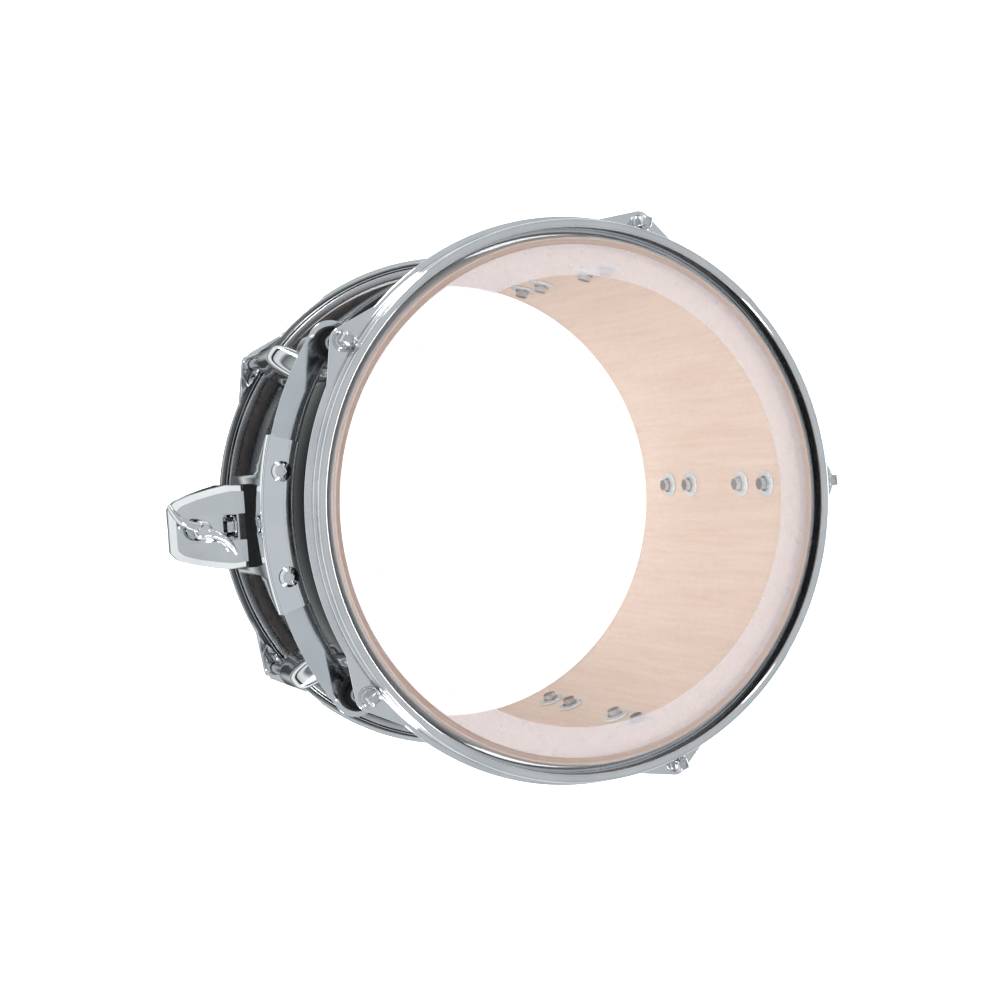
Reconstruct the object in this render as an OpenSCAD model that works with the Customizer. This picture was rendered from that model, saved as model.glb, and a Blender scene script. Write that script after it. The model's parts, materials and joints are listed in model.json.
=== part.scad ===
// Ten inch suspended rack tom: two-headed wooden drum with a clamp for a tom arm.
// The drum stands on the rim of its resonant hoop. Z is the drum's axis, the batter
// head is on top, the origin is on the axis in the plane of the resonant rim, and the
// mount is on the -Y side.

/* [Shell] */
// Outside diameter of the shell
shell_d = 254; // [250:1:258]
// Length of the shell from bearing edge to bearing edge
shell_len = 177.8; // [170:0.1:200]
// Thickness of the wooden wall without its finish
shell_wall = 5.1; // [4.5:0.1:6]
// Thickness of the black gloss finish
finish_t = 0.4; // [0.3:0.1:0.5]

/* [Heads] */
// How far the rim stands above the head
rim_rise = 3.4; // [3:0.1:5]
// Thickness of the film
film_t = 0.25; // [0.2:0.05:0.4]
// Inside diameter of the muffle ring under the batter head
muffle_id = 215.6; // [190:0.1:225]

/* [Hoops] */
// Thickness of the hoop's sheet
hoop_t = 1.5; // [1.2:0.1:1.6]
// Outside diameter of the rolled rim
rim_d = 268.4; // [268:0.1:272]
// Outside diameter of the bottom flange between the ears
flange_d = 273.8; // [273:0.1:276]
// Depth of the top of the flange below the rim
flange_drop = 12.6; // [12:0.1:13]
// Radius of the round end of an ear
ear_r = 6.4; // [6:0.1:7]

/* [Tension rods] */
// Diameter of the circle on which the rods stand
rod_circle_d = 278.8; // [278.8:0.1:280]
// Diameter of a rod
rod_d = 5.5; // [5:0.1:5.6]
// Width of a rod's square head across its flats
rod_head_af = 5.6; // [5:0.1:6]
// Outside diameter of the washer under a rod's head
rod_washer_d = 10.4; // [9.5:0.1:10.4]

/* [Lugs] */
// Distance from the middle of the drum to a lug's inner screw
lug_screw_near = 27.6; // [26:0.1:30]
// Distance between the two screws of a lug
lug_screw_pitch = 25.5; // [24:0.1:27]
// Diameter of the barrel that holds the threaded insert
lug_barrel_d = 13.4; // [12.5:0.1:14]
// Width of a lug's base at its widest
lug_base_w = 20; // [18:0.5:22]

/* [Mount] */
// Height of the top face of the crescent plate
crescent_z = 153; // [152:0.1:154]
// Thickness of the crescent plate
crescent_t = 1.6; // [1.4:0.1:2]
// Outside diameter of the crescent plate
crescent_d = 300.4; // [300:0.1:301]
// Radial width of the crescent plate
crescent_w = 13.3; // [12:0.1:14]
// Half of the angle that the bracket covers
bracket_half = 15.8; // [15:0.1:17]
// Thickness of the bracket's sheet
bracket_t = 2; // [1.8:0.1:2.2]
// Height of the top face of the clamp casting
clamp_z = 137; // [136:0.1:138]
// Height of the clamp casting
clamp_h = 40; // [38:1:44]
// Distance from the drum's axis to the outer end of the clamp casting
clamp_reach = 190; // [188:0.1:194]
// Diameter of the tom arm that the clamp takes
arm_d = 12.7; // [10.5:0.1:12.7]
// Travel of the wing screw and of the shoe that it presses on the arm
clamp_travel = 3; // [2:0.5:3]

/* [Hidden] */
$fn = 96;

rod_angles = [for (i = [0:4]) 18 + 72 * i];
mount_angle = 270;
grommet_angles = [mount_angle - 36, mount_angle + 36];

shell_r = shell_d / 2;
wood_r = shell_r - finish_t;
bore_r = wood_r - shell_wall;
edge_tip_r = bore_r + 3.6;
edge_cut_h = 5.3;
edge_back_h = 2.6;
total_h = shell_len + 2 * rim_rise;
mid_z = total_h / 2;
head_z = total_h - rim_rise;

rod_r = rod_circle_d / 2;
flange_z = total_h - flange_drop;
wall_r = 130;
skirt_r = 132.6;
step_drop = 8.2;
flesh_top = total_h - step_drop - hoop_t;
flesh_h = 5;
flesh_in_r = 128.3;
flesh_out_r = skirt_r - 0.3;
ear_hole_d = rod_d + 1;

washer_t = 1.3;
collar_t = 1.7;
collar_d = 9;
rod_gap = 0.05;
rod_head_top = total_h - 3.1;
rod_end_z = mid_z + 26;

gasket_t = 0.6;
lug_seat_r = shell_r + gasket_t;
lug_h_end = 53.3;
lug_in_end = 13;
lug_foot_end = 58.6;
insert_d = 9;
insert_len = 14;
screw_d = 4;
screw_gap = 0.6;
spring_d = 8.2;
spring_t = 0.8;
plate_washer_d = 13.4;
plate_washer_t = 1;
washer_seat = sqrt(bore_r * bore_r - plate_washer_d * plate_washer_d / 4) - 0.02;
screw_seat = washer_seat - plate_washer_t - spring_t;
screw_head_h = 2.8;
screw_head_af = 6;

grommet_d = 16.6;
grommet_neck_d = 12;
grommet_flange_h = 2.6;
sleeve_d = 8;
sleeve_bore = rod_d + 0.5;
bracket_out_r = 152.6;
bracket_leg_w = 15.4;
bend_r = 2.4;
tab_half = 23.4;
bracket_skirt_low = clamp_z - clamp_h + 3;
rivet_angles = [mount_angle - 9.8, mount_angle + 9.8];
rivet_r = 143.6;

clamp_face = 155.3;
clamp_half_in = 19.3;
slot_half = 6.1;
slot_floor = clamp_z - 6.5;
pocket_end = 164.5;
pocket_floor = clamp_z - 17;
back_wall = 2.5;
bolt_z = clamp_z - 10.5;
bolt_d = 5;
bolt_end_gap = 0.3;
wing_y = -177.5;
wing_thread_d = 8;
blade_reach = 20.4;
blade_turn = 47;
thread_gap = 0.05;
bridge_h = 5.5;
shoe_d = 11;
shoe_h = 4.6;
shoe_z = slot_floor - bridge_h - shoe_h - 0.4;
arm_z = shoe_z - arm_d / 2 - 0.3;
arm_bore_d = arm_d + 0.2;
arm_bore_depth = 27;
wing_base_z = slot_floor + clamp_travel + 0.4;

// Turns a part drawn on +X to an angle about the drum's axis.
module at_angle(a) {
    rotate([0, 0, a]) children();
}

// Puts a part drawn for the batter side on the resonant side as well.
module resonant_side() {
    translate([0, 0, total_h]) mirror([0, 0, 1]) children();
}

// Ring with a plain rectangular section.
module ring(r_in, r_out, z0, h) {
    translate([0, 0, z0]) difference() {
        cylinder(r = r_out, h = h);
        translate([0, 0, -1]) cylinder(r = r_in, h = h + 2);
    }
}

// Clearance holes for the lug screws through the wall.
module lug_screw_holes() {
    at_lug_screws() translate([0, 0, bore_r - 3]) cylinder(d = screw_d + screw_gap, h = shell_r - bore_r + 6);
}

// Wooden tube with a cut bearing edge at both ends and the holes for the lug screws.
module shell() {
    top = head_z;
    low = rim_rise;
    color([0.87, 0.76, 0.66]) difference() {
        rotate_extrude($fn = 180) polygon([
            [bore_r, low + edge_cut_h], [edge_tip_r, low], [edge_tip_r + 0.5, low],
            [wood_r, low + edge_back_h], [wood_r, top - edge_back_h],
            [edge_tip_r + 0.5, top], [edge_tip_r, top], [bore_r, top - edge_cut_h]
        ]);
        lug_screw_holes();
    }
}

// Black gloss skin round the wooden tube.
module shell_finish() {
    color([0.03, 0.03, 0.035]) difference() {
        ring(wood_r, shell_r, rim_rise + edge_back_h, shell_len - 2 * edge_back_h);
        lug_screw_holes();
    }
}

// Stretched film with the collar that runs down to its flesh hoop.
module head_film() {
    rotate_extrude($fn = 180) polygon([
        [0, head_z], [edge_tip_r + 0.6, head_z], [edge_tip_r + 1.3, head_z - 0.6],
        [shell_r + 0.35, head_z - 2.8], [flesh_in_r + 0.5, flesh_top],
        [flesh_in_r + 0.5 + film_t, flesh_top], [shell_r + 0.35 + film_t, head_z - 2.7],
        [edge_tip_r + 1.3 + film_t, head_z - 0.4], [edge_tip_r + 0.7, head_z + film_t], [0, head_z + film_t]
    ]);
}

module batter_head() {
    color([0.93, 0.93, 0.95, 0.35]) head_film();
}

module resonant_head() {
    color([0.93, 0.93, 0.95, 0.35]) resonant_side() head_film();
}

// Ring of film bonded under the edge of the batter head.
module muffle_ring() {
    color([0.9, 0.86, 0.86, 0.5]) ring(muffle_id / 2, edge_tip_r - 0.4, head_z - film_t, film_t);
}

// Aluminium ring that grips the edge of the film.
module flesh_hoop() {
    ring(flesh_in_r, flesh_out_r, flesh_top - flesh_h, flesh_h);
}

module batter_flesh_hoop() {
    color([0.75, 0.76, 0.78]) flesh_hoop();
}

module resonant_flesh_hoop() {
    color([0.75, 0.76, 0.78]) resonant_side() flesh_hoop();
}

// Plan of one ear: a round end that runs out to the flange along two tangents.
module ear_plan() {
    foot = [(flange_d / 2 - 0.6) * cos(9.5), (flange_d / 2 - 0.6) * sin(9.5)];
    reach = [rod_r - foot[0], -foot[1]];
    span = norm(reach);
    turn = atan2(reach[1], reach[0]) + asin(ear_r / span);
    run = sqrt(span * span - ear_r * ear_r);
    touch = [foot[0] + run * cos(turn), foot[1] + run * sin(turn)];
    translate([rod_r, 0]) circle(r = ear_r);
    polygon([
        [skirt_r - 3, 0], [skirt_r - 3, -foot[1]], [foot[0], -foot[1]], [touch[0], -touch[1]],
        touch, foot, [skirt_r - 3, foot[1]]
    ]);
}

// Triple-flanged hoop: rolled rim, wall, step over the flesh hoop, skirt and flange.
module hoop() {
    t = total_h;
    difference() {
        union() {
            rotate_extrude($fn = 180) polygon([
                [wall_r, t - 1], [wall_r + 1, t], [rim_d / 2 - 1, t], [rim_d / 2, t - 1],
                [rim_d / 2, t - 2.4], [rim_d / 2 - 0.9, t - 3], [wall_r + hoop_t, t - 3],
                [wall_r + hoop_t, t - step_drop], [skirt_r + hoop_t, t - step_drop],
                [skirt_r + hoop_t, flange_z], [flange_d / 2, flange_z],
                [flange_d / 2, flange_z - hoop_t], [skirt_r, flange_z - hoop_t],
                [skirt_r, flesh_top], [wall_r, flesh_top]
            ]);
            translate([0, 0, flange_z - hoop_t]) for (a = rod_angles) {
                at_angle(a) linear_extrude(height = hoop_t) ear_plan();
            }
        }
        translate([0, 0, flange_z - hoop_t - 1]) cylinder(r = skirt_r, h = hoop_t + 2);
        for (a = rod_angles) {
            at_angle(a) translate([rod_r, 0, flange_z - hoop_t - 1]) cylinder(d = ear_hole_d, h = hoop_t + 2);
        }
    }
}

module batter_hoop() {
    color([0.8, 0.81, 0.83]) hoop();
}

module resonant_hoop() {
    color([0.8, 0.81, 0.83]) resonant_side() hoop();
}

// Tension rod with a collar and a square head for a drum key.
module rod() {
    seat = flange_z + washer_t + rod_gap;
    translate([rod_r, 0, 0]) {
        translate([0, 0, rod_end_z]) cylinder(d = rod_d, h = seat - rod_end_z + 0.5);
        translate([0, 0, seat]) cylinder(d = collar_d, h = collar_t);
        intersection() {
            translate([-rod_head_af / 2, -rod_head_af / 2, seat + collar_t])
                cube([rod_head_af, rod_head_af, rod_head_top - seat - collar_t]);
            translate([0, 0, seat]) cylinder(d = rod_head_af * 1.25, h = 20);
        }
    }
}

module batter_rod(i) {
    color([0.78, 0.79, 0.81]) at_angle(rod_angles[i - 1]) rod();
}

module resonant_rod(i) {
    color([0.78, 0.79, 0.81]) resonant_side() at_angle(rod_angles[i - 1]) rod();
}

// One washer under the head of each rod of one hoop.
module rod_washers() {
    for (a = rod_angles) {
        at_angle(a) translate([rod_r, 0, flange_z]) difference() {
            cylinder(d = rod_washer_d, h = washer_t);
            translate([0, 0, -1]) cylinder(d = rod_d + 0.6, h = washer_t + 2);
        }
    }
}

module batter_rod_washers() {
    color([0.72, 0.73, 0.75]) rod_washers();
}

module resonant_rod_washers() {
    color([0.72, 0.73, 0.75]) resonant_side() rod_washers();
}

// Plan of a lug's base, seen along its radius: broad in the middle, narrow at the hoop.
// The first coordinate runs along the drum's axis from the middle of the drum.
module lug_plan(grow) {
    half = lug_base_w / 2 + grow;
    nose = lug_foot_end - 5;
    tail = lug_in_end + 8;
    translate([nose, 0]) circle(r = 5 + grow);
    translate([tail, 0]) circle(r = 8 + grow);
    polygon([
        [tail - 2, -8 - grow], [tail + 10, -half], [nose - 14, -half], [nose + 1, -5 - grow],
        [nose + 1, 5 + grow], [nose - 14, half], [tail + 10, half], [tail - 2, 8 + grow]
    ]);
}

// Side view of a lug: height above the shell along the drum's axis.
module lug_side() {
    polygon([
        [lug_in_end, -2], [lug_in_end, 3], [lug_in_end + 5, 15], [lug_in_end + 11, 18.6],
        [lug_h_end - 9, 18.6], [lug_h_end - 3, 17], [lug_h_end, 14], [lug_h_end, 5],
        [lug_foot_end, 2.4], [lug_foot_end, -2]
    ]);
}

// Draws a plan in the plane of the drum's axis and the tangent, extruded outwards.
module radial_extrude(r0, h) {
    translate([r0, 0, mid_z]) rotate([0, 90, 0]) linear_extrude(height = h) mirror([1, 0]) children();
}

// Lug of the batter side: base, barrel for the threaded insert and two screw holes.
module lug() {
    difference() {
        intersection() {
            union() {
                radial_extrude(shell_r - 3, 11) lug_plan(0);
                translate([rod_r, 0, mid_z + lug_in_end])
                    cylinder(d = lug_barrel_d, h = lug_h_end - lug_in_end);
                translate([shell_r, -lug_barrel_d / 2, mid_z + lug_in_end + 3])
                    cube([rod_r - shell_r, lug_barrel_d, lug_h_end - lug_in_end - 3]);
            }
            translate([shell_r, 15, mid_z]) rotate([90, 0, 0]) linear_extrude(height = 30) rotate([0, 0, 90])
                mirror([0, 1]) lug_side();
        }
        cylinder(r = lug_seat_r, h = total_h);
        translate([rod_r, 0, mid_z + lug_h_end - insert_len]) cylinder(d = insert_d, h = insert_len + 1);
        translate([rod_r, 0, rod_end_z - 4]) cylinder(d = rod_d + 0.8, h = 40);
        for (s = [lug_screw_near, lug_screw_near + lug_screw_pitch]) {
            translate([shell_r - 2, 0, mid_z + s]) rotate([0, 90, 0])
                cylinder(d = screw_d + 2 * thread_gap, h = 7);
        }
    }
}

module batter_lug(i) {
    color([0.82, 0.83, 0.85]) at_angle(rod_angles[i - 1]) lug();
}

module resonant_lug(i) {
    color([0.82, 0.83, 0.85]) resonant_side() at_angle(rod_angles[i - 1]) lug();
}

// Draws its children at all ten lugs.
module at_lugs() {
    for (a = rod_angles) {
        at_angle(a) children();
        resonant_side() at_angle(a) children();
    }
}

// Draws its children, drawn along +X from the drum's axis, at all twenty lug screws.
module at_lug_screws() {
    at_lugs() for (s = [lug_screw_near, lug_screw_near + lug_screw_pitch]) {
        translate([0, 0, mid_z + s]) rotate([0, 90, 0]) children();
    }
}

// Thin black gasket between each lug and the shell.
module lug_gaskets() {
    color([0.05, 0.05, 0.05]) at_lugs() difference() {
        intersection() {
            radial_extrude(shell_r - 3, 6) lug_plan(0.4);
            ring(shell_r, lug_seat_r, mid_z, mid_z);
        }
        for (s = [lug_screw_near, lug_screw_near + lug_screw_pitch]) {
            translate([shell_r - 4, 0, mid_z + s]) rotate([0, 90, 0]) cylinder(d = screw_d + 0.4, h = 7);
        }
    }
}

// Threaded insert in the end of each barrel.
module lug_inserts() {
    color([0.66, 0.67, 0.69]) at_lugs() translate([rod_r, 0, mid_z + lug_h_end - insert_len]) difference() {
        cylinder(d = insert_d, h = insert_len - 0.5);
        translate([0, 0, -1]) cylinder(d = rod_d + 2 * thread_gap, h = insert_len + 2);
    }
}

// Hexagon screws that hold the lugs from inside the shell.
module lug_screws() {
    color([0.6, 0.61, 0.63]) at_lug_screws() {
        translate([0, 0, screw_seat - screw_head_h]) intersection() {
            cylinder(d = screw_head_af / cos(30), h = screw_head_h, $fn = 6);
            cylinder(d = screw_head_af * 1.09, h = screw_head_h);
        }
        translate([0, 0, screw_seat - 0.5]) cylinder(d = screw_d, h = shell_r + 4.5 - screw_seat);
    }
}

module lug_spring_washers() {
    color([0.55, 0.56, 0.58]) at_lug_screws() translate([0, 0, screw_seat]) difference() {
        cylinder(d = spring_d, h = spring_t);
        translate([0, 0, -1]) cylinder(d = screw_d + 0.3, h = spring_t + 2);
        translate([0, -0.4, -1]) cube([6, 0.8, spring_t + 2]);
    }
}

// Flat plate washers that bear on the curved wall with their two side edges.
module lug_plate_washers() {
    color([0.82, 0.86, 0.88]) at_lug_screws() translate([0, 0, washer_seat - plate_washer_t]) difference() {
        cylinder(d = plate_washer_d, h = plate_washer_t);
        translate([0, 0, -1]) cylinder(d = screw_d + screw_gap, h = plate_washer_t + 2);
    }
}

// Plan of the crescent plate with a pad round each grommet.
module crescent_plan() {
    pad_r = 11.2;
    out_r = crescent_d / 2;
    difference() {
        union() {
            intersection() {
                circle(r = out_r);
                polygon([[0, 0], for (a = [-36:12:36]) 200 * [cos(mount_angle + a), sin(mount_angle + a)]]);
            }
            for (a = grommet_angles) {
                rotate([0, 0, a]) translate([out_r - pad_r + 0.2, 0]) circle(r = pad_r);
            }
        }
        difference() {
            circle(r = out_r - crescent_w);
            for (a = grommet_angles) {
                rotate([0, 0, a]) translate([out_r - pad_r + 0.2, 0]) circle(r = pad_r);
            }
        }
        for (a = grommet_angles) {
            rotate([0, 0, a]) translate([rod_r, 0]) circle(d = grommet_neck_d);
        }
        for (a = rivet_angles) {
            rotate([0, 0, a]) translate([rivet_r, 0]) circle(d = 5);
        }
    }
}

// Flat crescent that hangs the drum by two of its tension rods.
module mount_crescent() {
    color([0.8, 0.81, 0.83]) translate([0, 0, crescent_z - crescent_t])
        linear_extrude(height = crescent_t) crescent_plan();
}

// Rubber grommets that carry the crescent on the rods.
module mount_grommets() {
    low = crescent_z - crescent_t - grommet_flange_h;
    flange_r = grommet_d / 2;
    neck_r = grommet_neck_d / 2;
    color([0.04, 0.04, 0.04]) for (a = grommet_angles) {
        at_angle(a) translate([rod_r, 0, 0]) rotate_extrude() polygon([
            [sleeve_d / 2, low], [flange_r - 0.8, low], [flange_r, low + 0.8],
            [flange_r, crescent_z - crescent_t], [neck_r, crescent_z - crescent_t], [neck_r, crescent_z],
            [flange_r, crescent_z], [flange_r, crescent_z + 1.8], [flange_r - 0.8, crescent_z + 2.6],
            [neck_r, crescent_z + 2.6], [neck_r, crescent_z + 4], [sleeve_d / 2, crescent_z + 4]
        ]);
    }
}

// Steel sleeves between the grommets and the rods.
module grommet_sleeves() {
    low = crescent_z - crescent_t - grommet_flange_h;
    color([0.7, 0.71, 0.73]) for (a = grommet_angles) {
        at_angle(a) translate([rod_r, 0, low]) difference() {
            cylinder(d = sleeve_d, h = crescent_z + 4.6 - low);
            translate([0, 0, -1]) cylinder(d = sleeve_bore, h = 30);
        }
    }
}

// Section of the bracket's skirt, with the bend at its top.
module skirt_section() {
    top = crescent_z + bracket_t;
    in_r = bracket_out_r - bracket_t;
    centre = [bracket_out_r - bend_r, top - bend_r];
    inner_bend = bend_r - bracket_t;
    polygon(concat(
        [[centre[0] - 1, top], [centre[0] - 1, crescent_z]],
        [for (a = [90:-22.5:0]) centre + inner_bend * [cos(a), sin(a)]],
        [[in_r, bracket_skirt_low], [bracket_out_r, bracket_skirt_low]],
        [for (a = [0:11.25:90]) centre + bend_r * [cos(a), sin(a)]]
    ));
}

// Curved angle bracket: a leg on the crescent and a skirt that narrows to the clamp.
module mount_bracket() {
    top = crescent_z + bracket_t;
    wide = bracket_out_r * sin(bracket_half);
    color([0.8, 0.81, 0.83]) difference() {
        union() {
            intersection() {
                ring(bracket_out_r - bracket_leg_w, bracket_out_r - bend_r, crescent_z, bracket_t);
                translate([0, 0, crescent_z - 1]) linear_extrude(height = 4) polygon([
                    [0, 0], for (a = [-bracket_half, 0, bracket_half])
                        220 * [cos(mount_angle + a), sin(mount_angle + a)]
                ]);
            }
            intersection() {
                rotate_extrude($fn = 180) skirt_section();
                translate([0, -100, 0]) rotate([90, 0, 0]) linear_extrude(height = 60) polygon([
                    [-tab_half, bracket_skirt_low], [tab_half, bracket_skirt_low], [tab_half, clamp_z + 3.5],
                    [wide, crescent_z - 1], [wide, top + 1], [-wide, top + 1], [-wide, crescent_z - 1],
                    [-tab_half, clamp_z + 3.5]
                ]);
            }
        }
        for (a = rivet_angles) {
            at_angle(a) translate([rivet_r, 0, crescent_z - 1]) cylinder(d = 5, h = 5);
        }
        translate([0, -140, bolt_z]) rotate([90, 0, 0]) cylinder(d = bolt_d + 0.4, h = 20);
    }
}

// Domed rivets through the bracket and the crescent.
module bracket_rivets() {
    low = crescent_z - crescent_t;
    top = crescent_z + bracket_t;
    color([0.84, 0.85, 0.87]) for (a = rivet_angles) {
        at_angle(a) translate([rivet_r, 0, 0]) rotate_extrude() polygon([
            [0, low - 1.4], [3.6, low - 1.4], [4.2, low], [2.5, low], [2.5, top], [4.9, top],
            [4.6, top + 0.9], [3.4, top + 1.9], [1.8, top + 2.4], [0, top + 2.5]
        ]);
    }
}

// Rubber pad between the bracket and the clamp casting.
module clamp_gasket() {
    half = clamp_half_in + 0.2;
    color([0.04, 0.04, 0.04]) difference() {
        translate([-half, -clamp_face, bracket_skirt_low + 1])
            cube([2 * half, clamp_face - 140, clamp_z - 0.6 - bracket_skirt_low - 1]);
        translate([0, 0, bracket_skirt_low]) cylinder(r = bracket_out_r, h = 60, $fn = 720);
        translate([0, -140, bolt_z]) rotate([90, 0, 0]) cylinder(d = bolt_d + 0.4, h = 20);
    }
}

// Plan of the casting, seen from the batter side: it narrows to its outer end.
module casting_plan() {
    reach = clamp_reach - clamp_face;
    polygon([
        [-clamp_half_in, 0], [-19.8, -7], [-18.4, -15], [-16.4, -23.5], [-13.6, -reach + 3],
        [-10.4, -reach], [10.4, -reach], [13.6, -reach + 3], [16.4, -23.5], [18.4, -15],
        [19.8, -7], [clamp_half_in, 0]
    ]);
}

// Side view of the casting: flat top, upright end and a sloping back below it.
module casting_side() {
    reach = clamp_reach - clamp_face;
    polygon([
        [0, clamp_z - clamp_h], [0, clamp_z], [reach - 2, clamp_z], [reach, clamp_z - 2],
        [reach, clamp_z - 8], [reach - 7, clamp_z - clamp_h + 8], [reach - 14, clamp_z - clamp_h]
    ]);
}

// End view of the casting with the bevels along its top.
module casting_end() {
    half = clamp_half_in + 1;
    polygon([
        [-half, 0], [half, 0], [half, clamp_z - 4.5], [half - 3.3, clamp_z], [-half + 3.3, clamp_z],
        [-half, clamp_z - 4.5]
    ]);
}

// Clamp casting: socket for the arm, guide for the shoe, thread for the wing screw and
// an open slot with a pocket for the nut.
module clamp_casting() {
    color([0.76, 0.78, 0.79]) difference() {
        intersection() {
            translate([0, -clamp_face, 0]) linear_extrude(height = 200) casting_plan();
            translate([30, -clamp_face, 0]) rotate([90, 0, -90]) linear_extrude(height = 60) casting_side();
            translate([0, -clamp_face + 1, 0]) rotate([90, 0, 0]) linear_extrude(height = 60) casting_end();
        }
        translate([-slot_half, -clamp_reach + 2.2, slot_floor])
            cube([2 * slot_half, clamp_reach - clamp_face - 2.2 + 1, 20]);
        translate([-slot_half, -pocket_end, pocket_floor])
            cube([2 * slot_half, pocket_end - clamp_face - back_wall, 30]);
        translate([0, -clamp_face + 1, bolt_z]) rotate([90, 0, 0]) cylinder(d = bolt_d + 0.4, h = 7);
        translate([0, wing_y, slot_floor - bridge_h - 1])
            cylinder(d = wing_thread_d + 2 * thread_gap, h = 20);
        translate([0, wing_y, arm_z])
            cylinder(d = shoe_d + 2 * thread_gap, h = slot_floor - bridge_h - arm_z);
        translate([0, -clamp_reach + arm_bore_depth, arm_z]) rotate([90, 0, 0])
            cylinder(d = arm_bore_d, h = arm_bore_depth + 5);
    }
}

// Bolt that holds the casting on the bracket.
module clamp_bolt() {
    head_y = -(bracket_out_r - bracket_t) + 0.15;
    color([0.3, 0.3, 0.32]) translate([0, head_y, bolt_z]) rotate([90, 0, 0]) {
        cylinder(d = bolt_d, h = pocket_end - bolt_end_gap + head_y);
        difference() {
            translate([0, 0, -2.7]) cylinder(d1 = 7, d2 = 9.5, h = 2.7);
            translate([0, 0, -3]) cylinder(d = 3.4, h = 2, $fn = 6);
        }
    }
}

// Flanged nut in the pocket of the casting.
module clamp_nut() {
    color([0.8, 0.8, 0.82]) translate([0, -clamp_face - back_wall, bolt_z]) rotate([90, 0, 0]) difference() {
        union() {
            cylinder(d = 11, h = 1.5);
            translate([0, 0, 1.4]) cylinder(d = 9.2, h = 3.4, $fn = 6);
        }
        translate([0, 0, -1]) cylinder(d = bolt_d, h = 8);
    }
}

// Shoe that the wing screw presses on the arm.
module clamp_shoe() {
    color([0.66, 0.67, 0.69]) translate([0, wing_y, shoe_z]) difference() {
        cylinder(d = shoe_d, h = shoe_h);
        translate([0, 0, shoe_h - 1.4]) cylinder(d = 5.2, h = 3);
    }
}

// Plan of one curved blade of the wing screw.
module wing_blade_plan() {
    difference() {
        translate([10, -9]) circle(r = 14.4);
        translate([10, -9]) circle(r = 11.9);
        translate([-10, -26]) square([40, 22.5]);
        translate([-20, -26]) square([20, 60]);
        translate([blade_reach, -26]) square([20, 60]);
    }
}

// Wing screw: threaded shank with a turned tip, hub and two curved blades.
module wing_screw() {
    tip_z = shoe_z + shoe_h - 1.3;
    color([0.82, 0.83, 0.85]) translate([0, wing_y, 0]) {
        translate([0, 0, tip_z]) cylinder(d = 5, h = 4);
        translate([0, 0, shoe_z + shoe_h + 0.2])
            cylinder(d = wing_thread_d, h = wing_base_z - shoe_z - shoe_h);
        translate([0, 0, wing_base_z]) cylinder(d1 = 10.4, d2 = 8.6, h = 12);
        translate([0, 0, wing_base_z + 12]) cylinder(d1 = 8.6, d2 = 6, h = 1.2);
        translate([0, 0, clamp_z + clamp_travel + 0.6]) for (a = [0, 180]) {
            rotate([0, 0, a + blade_turn]) linear_extrude(height = 8) wing_blade_plan();
        }
    }
}

shell();
shell_finish();
batter_head();
muffle_ring();
batter_flesh_hoop();
batter_hoop();
resonant_head();
resonant_flesh_hoop();
resonant_hoop();
batter_lug(1);  // batter_lug_1
batter_lug(2);  // batter_lug_2
batter_lug(3);  // batter_lug_3
batter_lug(4);  // batter_lug_4
batter_lug(5);  // batter_lug_5
resonant_lug(1);  // resonant_lug_1
resonant_lug(2);  // resonant_lug_2
resonant_lug(3);  // resonant_lug_3
resonant_lug(4);  // resonant_lug_4
resonant_lug(5);  // resonant_lug_5
lug_gaskets();
lug_inserts();
lug_screws();
lug_spring_washers();
lug_plate_washers();
batter_rod(1);  // batter_rod_1
batter_rod(2);  // batter_rod_2
batter_rod(3);  // batter_rod_3
batter_rod(4);  // batter_rod_4
batter_rod(5);  // batter_rod_5
resonant_rod(1);  // resonant_rod_1
resonant_rod(2);  // resonant_rod_2
resonant_rod(3);  // resonant_rod_3
resonant_rod(4);  // resonant_rod_4
resonant_rod(5);  // resonant_rod_5
batter_rod_washers();
resonant_rod_washers();
mount_crescent();
mount_grommets();
grommet_sleeves();
mount_bracket();
bracket_rivets();
clamp_gasket();
clamp_casting();
clamp_bolt();
clamp_nut();
clamp_shoe();
wing_screw();
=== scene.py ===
"""Looks of a small suspended rack tom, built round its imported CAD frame."""
import json
import math

import bmesh
import bpy
from mathutils import Matrix, Vector


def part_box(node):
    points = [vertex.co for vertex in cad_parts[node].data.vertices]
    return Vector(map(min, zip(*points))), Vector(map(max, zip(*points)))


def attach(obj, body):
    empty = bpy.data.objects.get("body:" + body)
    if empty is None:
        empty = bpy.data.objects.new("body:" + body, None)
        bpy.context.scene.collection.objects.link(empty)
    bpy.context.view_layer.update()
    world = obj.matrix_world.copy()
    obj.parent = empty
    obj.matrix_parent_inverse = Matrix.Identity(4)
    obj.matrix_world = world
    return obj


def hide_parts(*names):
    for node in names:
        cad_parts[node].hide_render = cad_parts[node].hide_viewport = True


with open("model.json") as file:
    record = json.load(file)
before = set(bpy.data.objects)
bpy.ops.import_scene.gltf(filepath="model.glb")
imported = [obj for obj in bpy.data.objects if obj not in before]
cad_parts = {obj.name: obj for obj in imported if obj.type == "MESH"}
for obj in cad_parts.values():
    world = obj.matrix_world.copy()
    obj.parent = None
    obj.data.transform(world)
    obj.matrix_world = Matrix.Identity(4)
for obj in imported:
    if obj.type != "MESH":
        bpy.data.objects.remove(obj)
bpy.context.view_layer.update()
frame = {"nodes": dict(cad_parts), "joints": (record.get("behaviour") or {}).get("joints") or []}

MM = 0.001
SIDES = ("batter", "resonant")
ROD_COUNT = 5

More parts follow.
